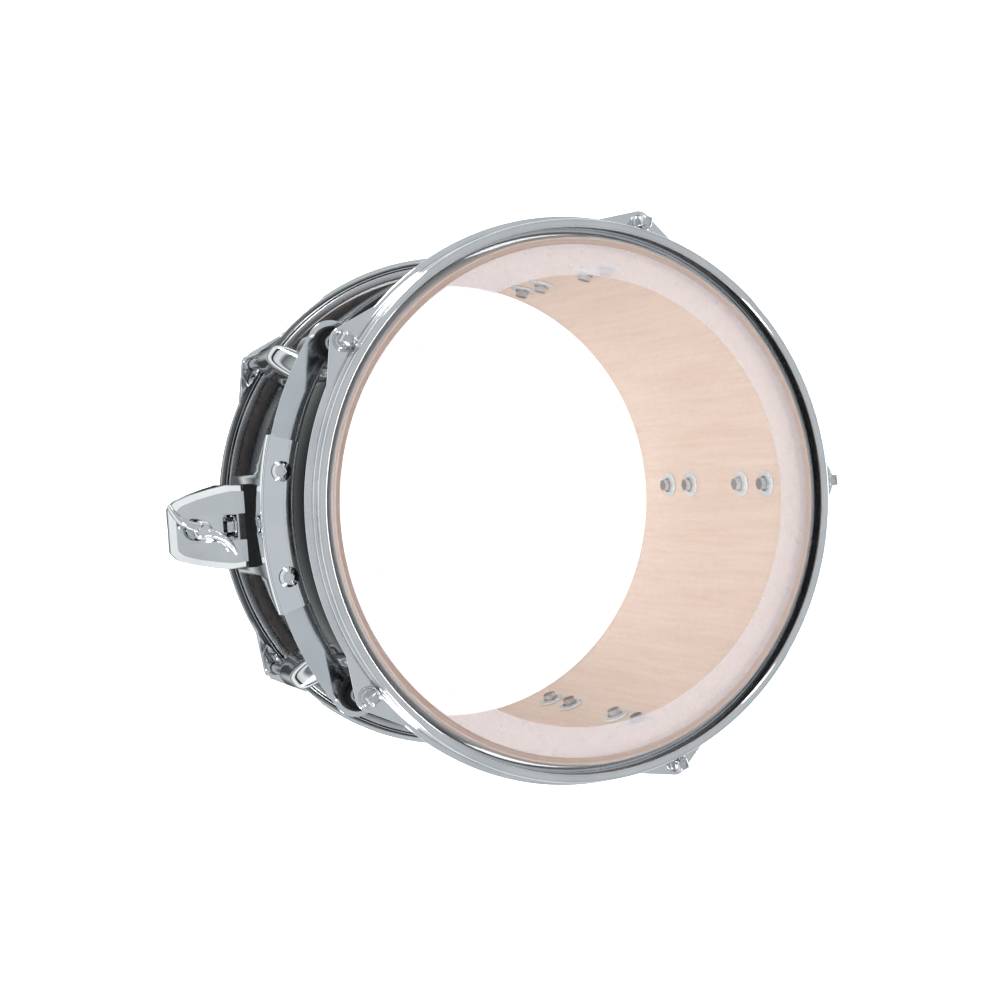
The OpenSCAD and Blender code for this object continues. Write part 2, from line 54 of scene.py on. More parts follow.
# ---------------------------------------------------------------- sizes, in millimetres
JOINTS = {joint["name"]: joint for joint in frame["joints"]}
TOTAL_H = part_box("batter_hoop")[1].z / MM
MID_Z = TOTAL_H / 2
SHELL_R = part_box("shell_finish")[1].x / MM
WOOD_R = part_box("shell")[1].x / MM
HEAD_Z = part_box("shell")[1].z / MM
WALL_T = 5.1
BORE_R = WOOD_R - WALL_T
EDGE_TIP_R = BORE_R + 3.6
ROD_R = math.hypot(*JOINTS["batter_rod_1_turn"]["pos_m"][:2]) / MM
HOOP_WALL_R = 130.0
HOOP_SKIRT_R = 132.6
HOOP_SHEET = 1.5
RIM_R = 134.2
FLANGE_R = 136.9
FLANGE_Z = TOTAL_H - 12.6
STEP_Z = TOTAL_H - 8.2
EAR_R = 6.4
EAR_FOOT = math.radians(9.5)
EAR_SPREAD = math.radians(10.5)
FILM_T = 0.25
FLESH_IN_R = 128.3
FLESH_OUT_R = 132.3
MUFFLE_IN_R = 107.8
MUFFLE_OUT_R = BORE_R + 1.0
ROD_TIP_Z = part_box("batter_rod_1")[1].z / MM
ROD_END_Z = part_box("batter_rod_1")[0].z / MM
THREAD_TOP = 153
ROD_SHANK_R = 2.75
LUG_IN = 13.0
LUG_END = 53.3
LUG_FOOT = 58.6
LUG_BORE_R = 4.55
CLAMP_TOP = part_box("clamp_casting")[1].z / MM
CLAMP_REACH = -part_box("clamp_casting")[0].y / MM
CLAMP_FACE = -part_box("clamp_casting")[1].y / MM
CASTING_HALF = 19.8
SLOT_HALF = 6.1
SOCKET_R = 6.45
ARM_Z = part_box("clamp_shoe")[0].z / MM - 6.65
WING_Y = JOINTS["wing_screw_turn"]["pos_m"][1] / MM
WING_TURN = math.radians(49)


def rod_angle(side, index):
    x, y, _ = JOINTS[f"{side}_rod_{index}_turn"]["pos_m"]
    return math.atan2(y, x)


# ---------------------------------------------------------------- mesh helpers
def add_object(name, mesh, smooth_angle=40):
    piece = bpy.data.objects.new(name, mesh)
    bpy.context.scene.collection.objects.link(piece)
    for face in mesh.polygons:
        face.use_smooth = True
    if smooth_angle:
        mesh.set_sharp_from_angle(angle=math.radians(smooth_angle))
    return piece


def mesh_from(name, points_mm, faces):
    mesh = bpy.data.meshes.new(name)
    mesh.from_pydata([(x * MM, y * MM, z * MM) for x, y, z in points_mm], [], faces)
    mesh.validate()
    tool = bmesh.new()
    tool.from_mesh(mesh)
    bmesh.ops.recalc_face_normals(tool, faces=tool.faces)
    tool.to_mesh(mesh)
    tool.free()
    return mesh


def fillet(corners, steps=4):
    """Closed outline of (x, y, radius) corners with each corner turned into an arc."""
    outline = []
    count = len(corners)
    for i, (x, y, radius) in enumerate(corners):
        here = Vector((x, y))
        back = Vector(corners[i - 1][:2]) - here
        ahead = Vector(corners[(i + 1) % count][:2]) - here
        half = back.angle(ahead) / 2
        if radius <= 0 or half > math.radians(89):
            outline.append((x, y))
            continue
        cut = min(radius / math.tan(half), 0.49 * min(back.length, ahead.length))
        radius = cut * math.tan(half)
        middle = here + (back.normalized() + ahead.normalized()).normalized() * radius / math.sin(half)
        first = here + back.normalized() * cut - middle
        last = here + ahead.normalized() * cut - middle
        turn = first.angle_signed(last)
        for k in range(steps + 1):
            arm = first.copy()
            arm.rotate(Matrix.Rotation(-turn * k / steps, 2))
            outline.append(tuple(middle + arm))
    return outline


def lathe(name, outline, segments=256):
    """Turns a closed (r, z) outline about the drum's axis."""
    return loft_round(name, [outline] * segments, [math.tau * i / segments for i in range(segments)])


def loft_round(name, outlines, angles):
    """Joins closed (r, z) outlines that stand at angles about the drum's axis."""
    count, size = len(outlines), len(outlines[0])
    points = []
    for outline, angle in zip(outlines, angles):
        points += [(r * math.cos(angle), r * math.sin(angle), z) for r, z in outline]
    faces = []
    for i in range(count):
        for k in range(size):
            a, b = i * size + k, i * size + (k + 1) % size
            c, d = (i + 1) % count * size + (k + 1) % size, (i + 1) % count * size + k
            faces.append((a, b, c, d))
    return mesh_from(name, points, faces)


def turned(name, profile, segments=48):
    """Turns an open (r, z) profile that starts and ends on the axis into a closed solid."""
    inner = profile[1:-1]
    points = [(0, 0, profile[0][1]), (0, 0, profile[-1][1])]
    for i in range(segments):
        angle = math.tau * i / segments
        points += [(r * math.cos(angle), r * math.sin(angle), z) for r, z in inner]
    size = len(inner)
    faces = []
    for i in range(segments):
        here, after = 2 + i * size, 2 + (i + 1) % segments * size
        faces.append((0, here, after))
        faces.append((1, after + size - 1, here + size - 1))
        for k in range(size - 1):
            faces.append((here + k, here + k + 1, after + k + 1, after + k))
    return mesh_from(name, points, faces)


def stack(name, rings):
    """Closed solid through rings of points, with a flat face at each end."""
    size = len(rings[0])
    points = [point for ring in rings for point in ring]
    faces = [tuple(range(size)), tuple(range((len(rings) - 1) * size, len(rings) * size))]
    for j in range(len(rings) - 1):
        for k in range(size):
            a, b = j * size + k, j * size + (k + 1) % size
            faces.append((a, b, b + size, a + size))
    return mesh_from(name, points, faces)


def apply_modifiers(piece):
    depsgraph = bpy.context.evaluated_depsgraph_get()
    made = bpy.data.meshes.new_from_object(piece.evaluated_get(depsgraph))
    piece.modifiers.clear()
    piece.data = made


def fused(name, meshes, voxel_mm, smooth_steps):
    """One solid of overlapping solids, with soft fillets where they meet, as in a casting."""
    tool = bmesh.new()
    for mesh in meshes:
        tool.from_mesh(mesh)
    joined = bpy.data.meshes.new(name)
    tool.to_mesh(joined)
    tool.free()
    piece = add_object(name, joined, smooth_angle=0)
    remesh = piece.modifiers.new("skin", "REMESH")
    remesh.mode = "VOXEL"
    remesh.voxel_size = voxel_mm * MM
    soften = piece.modifiers.new("soften", "SMOOTH")
    soften.factor = 0.5
    soften.iterations = smooth_steps
    apply_modifiers(piece)
    for face in piece.data.polygons:
        face.use_smooth = True
    return piece


def cut(piece, cutter_mesh):
    """Takes a cutter's solid out of a piece."""
    cutter = bpy.data.objects.new("cutter", cutter_mesh)
    bpy.context.scene.collection.objects.link(cutter)
    boolean = piece.modifiers.new("cut", "BOOLEAN")
    boolean.operation = "DIFFERENCE"
    boolean.solver = "EXACT"
    boolean.object = cutter
    apply_modifiers(piece)
    bpy.data.objects.remove(cutter)


def placed(mesh, matrix):
    """A copy of a mesh with its place in its vertices."""
    moved = mesh.copy()
    moved.transform(matrix)
    return moved


def settle(piece, body, slot, material, *nodes):
    """Puts a piece on its body, in place of its CAD nodes."""
    piece.data.materials.clear()
    piece.data.materials.append(material)
    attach(piece, body)
    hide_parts(*nodes)


def side_matrix(side, angle=0.0):
    """Takes a piece made for the batter side on +X to its own side and angle."""
    spin = Matrix.Rotation(angle, 4, "Z")
    if side == "batter":
        return spin
    middle = Matrix.Translation((0, 0, MID_Z * MM))
    return spin @ middle @ Matrix.Rotation(math.pi, 4, "X") @ middle.inverted()


# ---------------------------------------------------------------- materials
class Shader:
    """A material's nodes, with short ways to add the ones used here."""

    def __init__(self, name):
        self.material = bpy.data.materials.new(name)
        self.material.use_nodes = True
        self.tree = self.material.node_tree
        self.surface = self.tree.nodes["Principled BSDF"]
        self.output = self.tree.nodes["Material Output"]
        self.place = self.tree.nodes.new("ShaderNodeTexCoord").outputs["Object"]

    def add(self, kind, **values):
        node = self.tree.nodes.new(kind)
        for key, value in values.items():
            setattr(node, key, value)
        return node

    def link(self, start, end):
        self.tree.links.new(start, end)

    def stretched(self, scale):
        mapping = self.add("ShaderNodeMapping")
        self.link(self.place, mapping.inputs["Vector"])
        mapping.inputs["Scale"].default_value = scale
        return mapping.outputs["Vector"]

    def noise(self, scale, detail=4, stretch=None, roughness=0.5):
        node = self.add("ShaderNodeTexNoise")
        self.link(self.stretched(stretch) if stretch else self.place, node.inputs["Vector"])
        node.inputs["Scale"].default_value = scale
        node.inputs["Detail"].default_value = detail
        node.inputs["Roughness"].default_value = roughness
        return node.outputs["Fac"]

    def ranged(self, value, low, high, start=0.3, end=0.7):
        node = self.add("ShaderNodeMapRange")
        self.link(value, node.inputs["Value"])
        node.inputs["From Min"].default_value = start
        node.inputs["From Max"].default_value = end
        node.inputs["To Min"].default_value = low
        node.inputs["To Max"].default_value = high
        return node.outputs["Result"]

    def ramp(self, value, *stops):
        node = self.add("ShaderNodeValToRGB")
        self.link(value, node.inputs["Fac"])
        ramp = node.color_ramp
        while len(ramp.elements) < len(stops):
            ramp.elements.new(0.5)
        for element, (position, colour) in zip(ramp.elements, stops):
            element.position = position
            element.color = (*colour, 1)
        return node.outputs["Color"]

    def mixed(self, share, first, colour):
        node = self.add("ShaderNodeMix", data_type="RGBA")
        self.link(share, node.inputs["Factor"])
        self.link(first, node.inputs[6])
        node.inputs[7].default_value = (*colour, 1)
        return node.outputs[2]

    def math(self, operation, first, second=0.0):
        node = self.add("ShaderNodeMath", operation=operation)
        for socket, value in zip(node.inputs, (first, second)):
            if isinstance(value, (int, float)):
                socket.default_value = value
            else:
                self.link(value, socket)
        return node.outputs[0]

    def axis_distance(self):
        """Distance from the drum's axis."""
        split = self.add("ShaderNodeSeparateXYZ")
        self.link(self.place, split.inputs[0])
        squares = [self.math("POWER", split.outputs[i], 2.0) for i in range(2)]
        return self.math("SQRT", self.math("ADD", *squares))

    def bump(self, height, depth_mm, strength):
        node = self.add("ShaderNodeBump")
        node.inputs["Strength"].default_value = strength
        node.inputs["Distance"].default_value = depth_mm * MM
        self.link(height, node.inputs["Height"])
        self.link(node.outputs["Normal"], self.surface.inputs["Normal"])

    def set(self, **values):
        for key, value in values.items():
            self.surface.inputs[key.replace("_", " ")].default_value = value


def metal(name, dark, light, rough_low, rough_high, ripple_mm, metallic=1.0):
    """Plated or bare metal with smudges in its sheen and a faint ripple."""
    shader = Shader(name)
    shader.set(Metallic=metallic)
    smudge = shader.noise(38, 5)
    shader.link(shader.ramp(smudge, (0.35, dark), (0.65, light)), shader.surface.inputs["Base Color"])
    fine = shader.noise(420, 3)
    blend = shader.math("MULTIPLY_ADD", fine, 0.4)
    shader.link(smudge, blend.node.inputs[2])
    shader.link(shader.ranged(blend, rough_low, rough_high, 0.5, 0.9), shader.surface.inputs["Roughness"])
    shader.bump(shader.noise(160, 2), ripple_mm, 0.25)
    return shader.material


def gloss_black():
    shader = Shader("gloss_black")
    cloud = shader.noise(24, 4)
    shader.link(
        shader.ramp(cloud, (0.3, (0.006, 0.006, 0.007)), (0.7, (0.014, 0.014, 0.016))),
        shader.surface.inputs["Base Color"],
    )
    shader.link(shader.ranged(shader.noise(260, 4), 0.03, 0.1), shader.surface.inputs["Roughness"])
    shader.set(IOR=1.42)
    shader.bump(shader.noise(330, 2), 0.01, 0.3)
    return shader.material


def wood():
    """Pale veneer with streaks and pores along the drum's axis, and plies at the bearing edge, darkened
    there as painted shade.
    """
    shader = Shader("veneer")
    broad = shader.noise(1, 6, (130, 130, 7), 0.6)
    fine = shader.noise(1, 5, (420, 420, 22), 0.65)
    pores = shader.noise(1, 3, (1500, 1500, 90), 0.7)
    base = shader.ramp(
        broad, (0.3, (0.81, 0.66, 0.555)), (0.5, (0.84, 0.70, 0.60)), (0.72, (0.865, 0.74, 0.64))
    )
    streaked = shader.mixed(shader.ranged(fine, 0.0, 0.44, 0.42, 0.78), base, (0.66, 0.48, 0.37))
    pored = shader.mixed(shader.ranged(pores, 0.0, 0.3, 0.6, 0.8), streaked, (0.50, 0.34, 0.25))
    radius = shader.axis_distance()
    ply = shader.math("SINE", shader.math("MULTIPLY", radius, math.tau / (1.7 * MM)))
    # Beyond the bore face the wood is mixed 70 to 88 per cent towards dark brown in ply stripes: the stripes
    # are real plies, and the darkening of the bearing edge is painted shade.
    inside_wall = shader.math("GREATER_THAN", radius, (BORE_R + 0.15) * MM)
    share = shader.math("MULTIPLY", shader.ranged(ply, 0.7, 0.88, -0.2, 0.6), inside_wall)
    plies_and_painted_shade = shader.mixed(share, pored, (0.47, 0.35, 0.30))
    shader.link(plies_and_painted_shade, shader.surface.inputs["Base Color"])
    shader.link(shader.ranged(fine, 0.42, 0.6), shader.surface.inputs["Roughness"])
    shader.set(Coat_Weight=0.12, Coat_Roughness=0.3)
    shader.bump(fine, 0.05, 0.35)
    return shader.material


def film(name, haze_colour, haze_low, haze_high, grain):
    """Clear or frosted film: light goes through, with a glossy sheen and a thin haze."""
    shader = Shader(name)
    clear = shader.add("ShaderNodeBsdfTransparent")
    cloud = shader.noise(grain, 5)
    shader.link(
        shader.ramp(cloud, (0.3, haze_colour), (0.7, tuple(min(1.0, c * 1.02) for c in haze_colour))),
        shader.surface.inputs["Base Color"],
    )
    shader.link(shader.ranged(cloud, 0.06, 0.16), shader.surface.inputs["Roughness"])
    shader.set(IOR=1.5)
    fresnel = shader.add("ShaderNodeFresnel")
    fresnel.inputs["IOR"].default_value = 1.4
    glance = shader.math("MULTIPLY", fresnel.outputs[0], 0.5)
    solid = shader.math("ADD", shader.ranged(cloud, haze_low, haze_high), glance)
    mix = shader.add("ShaderNodeMixShader")
    shader.link(solid, mix.inputs["Fac"])
    shader.link(clear.outputs[0], mix.inputs[1])
    shader.link(shader.surface.outputs[0], mix.inputs[2])
    shader.link(mix.outputs[0], shader.output.inputs["Surface"])
    return shader.material


def rubber():
    shader = Shader("moulded_rubber")
    cloud = shader.noise(70, 5)
    shader.link(
        shader.ramp(cloud, (0.3, (0.003, 0.003, 0.003)), (0.7, (0.008, 0.008, 0.009))),
        shader.surface.inputs["Base Color"],
    )
    shader.link(shader.ranged(shader.noise(520, 4), 0.4, 0.65), shader.surface.inputs["Roughness"])
    shader.set(IOR=1.35)
    shader.bump(shader.noise(1800, 3), 0.04, 0.4)
    return shader.material


def floor_paint():
    """White where it is seen, and painted reflections where metal mirrors it: light and dark rings by
    distance from the drum's axis, darkest under the drum as painted shade.
    """
    shader = Shader("floor_paint")
    shader.link(
        shader.ramp(shader.noise(2, 3), (0.3, (0.93, 0.93, 0.93)), (0.7, (0.95, 0.95, 0.95))),
        shader.surface.inputs["Base Color"],
    )
    shader.set(Roughness=0.9, Emission_Color=(1, 1, 1, 1), Emission_Strength=0.95)
    # Painted reflection: rings of light and dark by distance from the axis, shown only to glossy rays, and
    # darkest under the drum as painted shade.
    painted_reflection = shader.add("ShaderNodeEmission")
    shader.link(
        shader.ramp(
            shader.axis_distance(), (0.0, (0.03, 0.03, 0.03)), (0.154, (0.05, 0.055, 0.055)),
            (0.164, (0.62, 0.66, 0.66)), (0.176, (0.30, 0.33, 0.33)), (0.190, (0.07, 0.08, 0.08)),
            (0.212, (0.42, 0.46, 0.46)), (0.235, (0.92, 0.94, 0.95)), (1.0, (0.95, 0.95, 0.95)),
        ),
        painted_reflection.inputs["Color"],
    )
    path = shader.add("ShaderNodeLightPath")
    mix = shader.add("ShaderNodeMixShader")
    shader.link(path.outputs["Is Glossy Ray"], mix.inputs["Fac"])
    shader.link(shader.surface.outputs[0], mix.inputs[1])
    shader.link(painted_reflection.outputs[0], mix.inputs[2])
    shader.link(mix.outputs[0], shader.output.inputs["Surface"])
    return shader.material


CHROME = metal("bright_chrome", (0.80, 0.82, 0.83), (0.90, 0.91, 0.92), 0.03, 0.09, 0.004)
CRESCENT_CHROME = metal("crescent_chrome", (0.73, 0.77, 0.80), (0.84, 0.87, 0.90), 0.06, 0.14, 0.004)
# bracket_chrome is a lighter copy of the chrome: a painted sheen that sets the bracket apart from the
# crescent.
BRACKET_CHROME_PAINTED_SHEEN = metal("bracket_chrome", (0.90, 0.93, 0.95), (0.97, 0.98, 0.99), 0.04, 0.12, 0.006)
CAST_CHROME = metal("cast_chrome", (0.76, 0.78, 0.79), (0.88, 0.90, 0.91), 0.05, 0.14, 0.020)
PLATED = metal("plated_steel", (0.66, 0.67, 0.69), (0.80, 0.81, 0.83), 0.12, 0.26, 0.010)
ZINC = metal("bright_zinc", (0.76, 0.86, 0.92), (0.86, 0.94, 0.98), 0.22, 0.38, 0.015, 0.2)
STEEL = metal("screw_steel", (0.46, 0.49, 0.52), (0.70, 0.73, 0.76), 0.2, 0.4, 0.015, 0.75)
ALUMINIUM = metal("rolled_aluminium", (0.62, 0.63, 0.65), (0.76, 0.77, 0.78), 0.2, 0.34, 0.010)
BLACKENED = metal("blackened_steel", (0.03, 0.03, 0.035), (0.07, 0.07, 0.08), 0.25, 0.45, 0.015)
BLACK = gloss_black()
VENEER = wood()
CLEAR_FILM = film("clear_film", (0.90, 0.90, 0.92), 0.005, 0.03, 500)
FROSTED_FILM = film("frosted_film", (0.98, 0.92, 0.94), 0.255, 0.266, 300)
RUBBER = rubber()


# ---------------------------------------------------------------- shell and heads
def make_shell():
    low = TOTAL_H - HEAD_Z
    tube = fillet([
        (BORE_R, low + 5.3, 0.4), (EDGE_TIP_R, low, 0.25), (EDGE_TIP_R + 0.5, low, 0.25),
        (WOOD_R, low + 2.6, 0.4), (WOOD_R, HEAD_Z - 2.6, 0.4), (EDGE_TIP_R + 0.5, HEAD_Z, 0.25),
        (EDGE_TIP_R, HEAD_Z, 0.25), (BORE_R, HEAD_Z - 5.3, 0.4),
    ], 3)
    settle(add_object("shell_ply", lathe("shell_ply", tube), 30), "drum", "shell_wood", VENEER, "shell")
    skin = fillet([
        (WOOD_R, low + 2.6, 0.1), (SHELL_R, low + 2.6, 0.25),
        (SHELL_R, HEAD_Z - 2.6, 0.25), (WOOD_R, HEAD_Z - 2.6, 0.1),
    ], 3)
    wrap = add_object("shell_wrap", lathe("shell_wrap", skin, 360), 50)
    settle(wrap, "drum", "gloss_finish", BLACK, "shell_finish")


def film_outline():
    """Film from the axis out over the bearing edge and down its collar to the flesh hoop."""
    collar_r = HOOP_SKIRT_R - 3.8
    foot = TOTAL_H - 9.9
    t = FILM_T
    return [
        (0, HEAD_Z), (EDGE_TIP_R - 2, HEAD_Z), (EDGE_TIP_R + 0.6, HEAD_Z), (EDGE_TIP_R + 1.3, HEAD_Z - 0.4),
        (SHELL_R + 0.35, HEAD_Z - 2.8), (collar_r, foot), (collar_r + t, foot),
        (SHELL_R + 0.35 + t, HEAD_Z - 2.7), (EDGE_TIP_R + 1.3 + t, HEAD_Z - 0.2),
        (EDGE_TIP_R + 0.8, HEAD_Z + t), (EDGE_TIP_R - 2, HEAD_Z + t), (0, HEAD_Z + t),
    ]


def make_heads():
    disc = turned("film", film_outline(), 256)
    ring = fillet([
        (FLESH_IN_R, STEP_Z - 6.5, 0.6), (FLESH_OUT_R, STEP_Z - 6.5, 0.6),
        (FLESH_OUT_R, STEP_Z - 1.5, 0.9), (FLESH_IN_R, STEP_Z - 1.5, 0.9),
    ])
    hoop = lathe("flesh_ring", ring)
    for side in SIDES:
        head = add_object(f"{side}_film", placed(disc, side_matrix(side)), 25)
        settle(head, "drum", "head_film", CLEAR_FILM, f"{side}_head")
        grip = add_object(f"{side}_flesh_ring", placed(hoop, side_matrix(side)), 40)
        settle(grip, "drum", "flesh_hoop", ALUMINIUM, f"{side}_flesh_hoop")
    low, high = HEAD_Z - FILM_T, HEAD_Z - 0.03
    band = fillet([
        (MUFFLE_IN_R, low, 0.05), (MUFFLE_OUT_R, low, 0.05),
        (MUFFLE_OUT_R, high, 0.05), (MUFFLE_IN_R, high, 0.05),
    ], 2)
    frost = add_object("muffle_band", lathe("muffle_band", band), 40)
    settle(frost, "drum", "muffle_film", FROSTED_FILM, "muffle_ring")


# ---------------------------------------------------------------- hoops
def ear_reach(angle):
    """Outer radius of the flange at an angle from the middle of an ear."""
    foot = Vector((math.cos(EAR_FOOT), math.sin(EAR_FOOT))) * (FLANGE_R - 0.3)
    centre = Vector((ROD_R, 0))
    span = centre - foot
    turn = math.atan2(span.y, span.x) + math.asin(EAR_R / span.length)
    away = abs(angle)
    reach = FLANGE_R
    ray = Vector((math.cos(away), math.sin(away)))
    inside = EAR_R ** 2 - (ROD_R * math.sin(away)) ** 2
    touch = foot + Vector((math.cos(turn), math.sin(turn))) * math.sqrt(span.length_squared - EAR_R ** 2)
    if inside > 0 and away < math.atan2(touch.y, touch.x):
        return ROD_R * math.cos(away) + math.sqrt(inside)
    if away < EAR_FOOT:
        line = touch - foot
        reach = (foot.x * line.y - foot.y * line.x) / (ray.x * line.y - ray.y * line.x)
    return max(reach, FLANGE_R)


def hoop_outline(reach):
    t = TOTAL_H
    wall = HOOP_WALL_R + HOOP_SHEET
    skirt = HOOP_SKIRT_R + HOOP_SHEET
    return fillet([
        (HOOP_WALL_R, t, 1.3), (RIM_R, t, 1.4), (RIM_R, t - 3, 0.7), (RIM_R - 1.1, t - 3, 0.4),
        (RIM_R - 1.1, t - 1.6, 0.4), (wall, t - 1.6, 0.4), (wall, STEP_Z, 1.1), (skirt, STEP_Z, 1.4),
        (skirt, FLANGE_Z, 1.1), (reach, FLANGE_Z, 0.7), (reach, FLANGE_Z - HOOP_SHEET, 0.7),
        (HOOP_SKIRT_R, FLANGE_Z - HOOP_SHEET, 1.9), (HOOP_SKIRT_R, STEP_Z - HOOP_SHEET, 0.8),
        (HOOP_WALL_R, STEP_Z - HOOP_SHEET, 0.9),
    ], 5)


def make_hoops():
    """Hoops of one outline, at angles that are close together at the ears and wide apart between them."""
    centres = [rod_angle("batter", i) for i in range(1, ROD_COUNT + 1)]
    near = [EAR_SPREAD * k / 54 for k in range(-54, 55)]
    gap = math.tau / ROD_COUNT - 2 * EAR_SPREAD
    between = [EAR_SPREAD + gap * k / 40 for k in range(1, 40)]
    angles = [centre + step for centre in centres for step in near + between]
    ear = [hoop_outline(ear_reach(step)) for step in near]
    outlines = (ear + [hoop_outline(FLANGE_R)] * len(between)) * ROD_COUNT
    hoop = add_object("hoop_blank", loft_round("hoop_blank", outlines, angles), 0)
    hole_low, hole_high = FLANGE_Z - 12, FLANGE_Z + 8
    hole = turned("hole", [(0, hole_low), (3.25, hole_low), (3.25, hole_high), (0, hole_high)], 40)
    cutters = bmesh.new()
    for centre in centres:
        place = Matrix.Rotation(centre, 4, "Z") @ Matrix.Translation((ROD_R * MM, 0, 0))
        before = set(cutters.verts)
        cutters.from_mesh(hole)
        bmesh.ops.transform(cutters, matrix=place, verts=[v for v in cutters.verts if v not in before])
    holes = bpy.data.meshes.new("holes")
    cutters.to_mesh(holes)
    cutters.free()
    cut(hoop, holes)
    mesh = hoop.data
    bpy.data.objects.remove(hoop)
    middle = Matrix.Translation((0, 0, MID_Z * MM))
    flip = middle @ Matrix.Rotation(math.pi, 4, "Y") @ middle.inverted()
    for side, place in zip(SIDES, (Matrix.Identity(4), flip)):
        piece = add_object(f"{side}_pressed_hoop", placed(mesh, place), 42)
        settle(piece, "drum", "hoop_chrome", CHROME, f"{side}_hoop")


# ---------------------------------------------------------------- lugs
def lug_section(z, half_width, height, crown):
    """Ring across a lug at height z: flat on the shell, with a crowned top."""
    base = SHELL_R - 0.6
    ring = []
    steps = 28
    for k in range(steps + 1):
        turn = math.pi * k / steps
        across = math.cos(turn)
        rise = math.sin(turn)
        y = half_width * math.copysign(abs(across) ** crown, across)
        ring.append((base + (height + 0.6) * rise ** crown, y, MID_Z + z))
    return ring


def eased(share):
    return share * share * (3 - 2 * share)


def lug_base():
    """Broad foot that is widest near the middle of the drum and narrows to a round nose."""
    rings = []
    steps = 40
    for k in range(steps + 1):
        share = k / steps
        z = LUG_IN + (LUG_FOOT - LUG_IN) * share
        tail = math.sqrt(max(0.0, 1 - (1 - min(1.0, share / 0.17)) ** 2))
        nose = math.sqrt(max(0.0, 1 - max(0.0, (share - 0.88) / 0.12) ** 2))
        taper = 9.9 - 4.4 * eased(max(0.0, min(1.0, (share - 0.42) / 0.5)))
        rings.append(lug_section(z, max(0.4, taper * tail * nose), 0.5 + 3.4 * min(tail, nose), 0.45))
    return stack("lug_base", rings)


def lug_barrel():
    """Raised body that carries the threaded insert: steep at its inner end, flat at the hoop."""
    rings = []
    steps = 44
    for k in range(steps + 1):
        share = k / steps
        z = LUG_IN + 1.2 + (LUG_END - LUG_IN - 1.2) * share
        rise = math.sin(min(1.0, share / 0.34) * math.pi / 2)
        fall = 1 - 0.13 * eased(max(0.0, (share - 0.84) / 0.16))
        height = 2 + 16.6 * rise * fall
        width = (6.9 + 1.4 * (1 - eased(min(1.0, share / 0.6)))) * (0.72 + 0.28 * rise)
        rings.append(lug_section(z, width, height, 0.62))
    return stack("lug_barrel", rings)


def make_lugs():
    body = fused("lug_blank", [lug_base(), lug_barrel()], 0.55, 7)
    seat = turned("seat", [(0, 0), (SHELL_R + 0.6, 0), (SHELL_R + 0.6, TOTAL_H), (0, TOTAL_H)], 360)
    cut(body, seat)
    low, high = MID_Z + 39.2, MID_Z + 56
    bore = turned("bore", [(0, low), (LUG_BORE_R, low), (LUG_BORE_R, high), (0, high)])
    bore.transform(Matrix.Translation((ROD_R * MM, 0, 0)))
    cut(body, bore)
    mesh = body.data
    bpy.data.objects.remove(body)
    for side in SIDES:
        for index in range(1, ROD_COUNT + 1):
            place = side_matrix(side, rod_angle(side, index))
            piece = add_object(f"{side}_cast_lug_{index}", placed(mesh, place), 50)
            settle(piece, "drum", "lug_chrome", CAST_CHROME, f"{side}_lug_{index}")


# ---------------------------------------------------------------- tension rods
def thread(radius, low, high, pitch, depth):
    """Threaded shank: each ring of points is shifted along the helix as it goes round."""
    around = 28
    per_turn = 4
    count = int((high - low) / pitch * per_turn)
    rings = []
    for j in range(count + 1):
        ring = []
        for k in range(around):
            turn = math.tau * k / around
            phase = (j / per_turn + k / around) % 1
            groove = 0.5 - 0.5 * math.cos(math.tau * phase)
            fade = min(1.0, j / 6, (count - j) / 6)
            r = radius - depth * groove * fade
            ring.append((r * math.cos(turn), r * math.sin(turn), low + (high - low) * j / count))
        rings.append(ring)
    return stack("thread", rings)


def rod_head():
    """Square drive with a domed end, standing on its collar."""
    seat = FLANGE_Z + 1.35
    half = 2.8
    rings = []
    for z, shrink in ((seat + 1.5, 0.0), (ROD_TIP_Z - 1.3, 0.0), (ROD_TIP_Z - 0.5, 0.35), (ROD_TIP_Z, 1.1)):
        side = half - shrink
        outline = fillet([(-side, -side, 0.9), (side, -side, 0.9), (side, side, 0.9), (-side, side, 0.9)], 4)
        rings.append([(x, y, z) for x, y in outline])
    collar = turned("collar", [
        (0, seat), (4.2, seat), (4.5, seat + 0.3), (4.5, seat + 1.2), (4.1, seat + 1.6), (3.2, seat + 1.7),
        (0, seat + 1.7),
    ])
    shank = turned("shank", [
        (0, THREAD_TOP - 1), (ROD_SHANK_R, THREAD_TOP - 1), (ROD_SHANK_R, seat + 0.5), (0, seat + 0.5),
    ], 40)
    return [stack("drive", rings), collar, shank]


def make_rods():
    tool = bmesh.new()
    for mesh in (*rod_head(), thread(ROD_SHANK_R, ROD_END_Z, THREAD_TOP, 1.06, 0.38)):
        tool.from_mesh(mesh)
    rod = bpy.data.meshes.new("rod")
    tool.to_mesh(rod)
    tool.free()
    rod.transform(Matrix.Translation((ROD_R * MM, 0, 0)))
    for side in SIDES:
        for index in range(1, ROD_COUNT + 1):
            name = f"{side}_rod_{index}"
            place = side_matrix(side, rod_angle(side, index))
            piece = add_object(f"{side}_key_rod_{index}", placed(rod, place), 38)
            settle(piece, name, "rod_chrome", PLATED, name)


